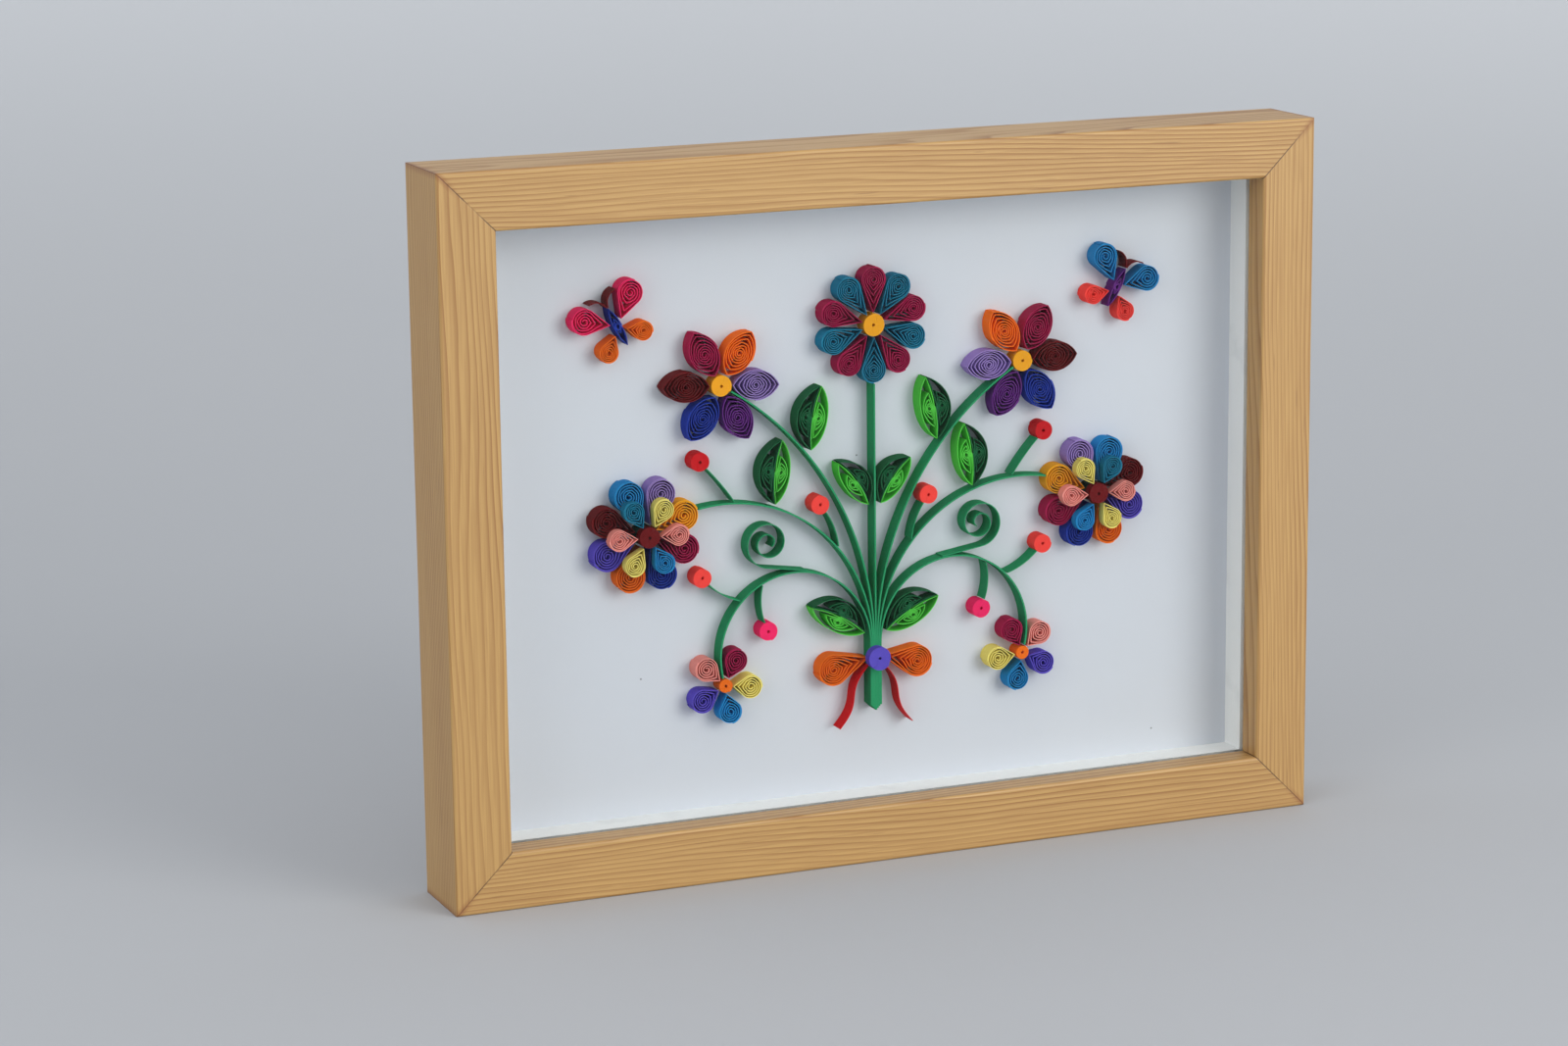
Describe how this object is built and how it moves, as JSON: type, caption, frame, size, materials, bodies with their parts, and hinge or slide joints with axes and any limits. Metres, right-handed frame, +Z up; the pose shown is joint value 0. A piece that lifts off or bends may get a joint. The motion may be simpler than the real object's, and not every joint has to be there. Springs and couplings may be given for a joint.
{
  "type": "quilled paper art",
  "caption": "Framed quilled paper picture: coiled paper flowers, leaves and scrolls on white card behind glass, in a mitred wooden box frame that stands or hangs.",
  "frame": {"origin": "middle of the frame's footprint, at the level that it stands on", "axes": "+X along the frame's width, +Y from the glass front to the back, +Z up"},
  "size_m": [0.265, 0.027, 0.205],
  "materials": {
    "pine": "satin",
    "glass": "polished",
    "white_foam_board": "matte",
    "white_card": "matte",
    "fibreboard": "satin",
    "zinc_steel": "satin",
    "paper_stem_green": "matte",
    "paper_leaf_green": "matte",
    "paper_teal": "matte",
    "paper_violet": "matte",
    "paper_crimson": "matte",
    "paper_yellow": "matte",
    "paper_pink": "matte",
    "paper_orange": "matte",
    "paper_blue": "matte",
    "paper_dark_red": "matte"
  },
  "bodies": {
    "root": {"rail_bottom": "pine", "rail_top": "pine", "rail_left": "pine", "rail_right": "pine", "corner_wedges": "zinc_steel", "glass_pane": "glass", "spacer_bottom": "white_foam_board", "spacer_top": "white_foam_board", "spacer_left": "white_foam_board", "spacer_right": "white_foam_board", "backing_card": "white_card", "backboard": "fibreboard", "backboard_tabs": "zinc_steel", "sawtooth_hanger": "zinc_steel", "hanger_rivets": "zinc_steel", "stem_centre": "paper_stem_green", "top_flower_petals": "paper_crimson", "top_flower_centre": "paper_yellow", "bow_loops": "paper_pink", "bow_tails": "paper_pink", "bow_knot": "paper_crimson", "stem_upper_left": "paper_stem_green", "leaf_upper_left": "paper_leaf_green", "stem_middle_left": "paper_stem_green", "leaf_middle_left": "paper_leaf_green", "stem_lower_left": "paper_stem_green", "leaf_lower_left": "paper_leaf_green", "leaf_centre_left": "paper_leaf_green", "scroll_left": "paper_stem_green", "berry_twigs_left": "paper_stem_green", "berries_left": "paper_pink", "upper_flower_left_petals": "paper_violet", "upper_flower_left_centre": "paper_yellow", "middle_flower_left_outer_petals": "paper_blue", "middle_flower_left_inner_petals": "paper_yellow", "middle_flower_left_centre": "paper_dark_red", "lower_flower_left_petals": "paper_orange", "lower_flower_left_centre": "paper_yellow", "butterfly_left_wings": "paper_teal", "butterfly_left_body": "paper_dark_red", "stem_upper_right": "paper_stem_green", "leaf_upper_right": "paper_leaf_green", "stem_middle_right": "paper_stem_green", "leaf_middle_right": "paper_leaf_green", "stem_lower_right": "paper_stem_green", "leaf_lower_right": "paper_leaf_green", "leaf_centre_right": "paper_leaf_green", "scroll_right": "paper_stem_green", "berry_twigs_right": "paper_stem_green", "berries_right": "paper_pink", "upper_flower_right_petals": "paper_violet", "upper_flower_right_centre": "paper_yellow", "middle_flower_right_outer_petals": "paper_blue", "middle_flower_right_inner_petals": "paper_yellow", "middle_flower_right_centre": "paper_dark_red", "lower_flower_right_petals": "paper_orange", "lower_flower_right_centre": "paper_yellow", "butterfly_right_wings": "paper_teal", "butterfly_right_body": "paper_dark_red"}
  },
  "joints": []
}
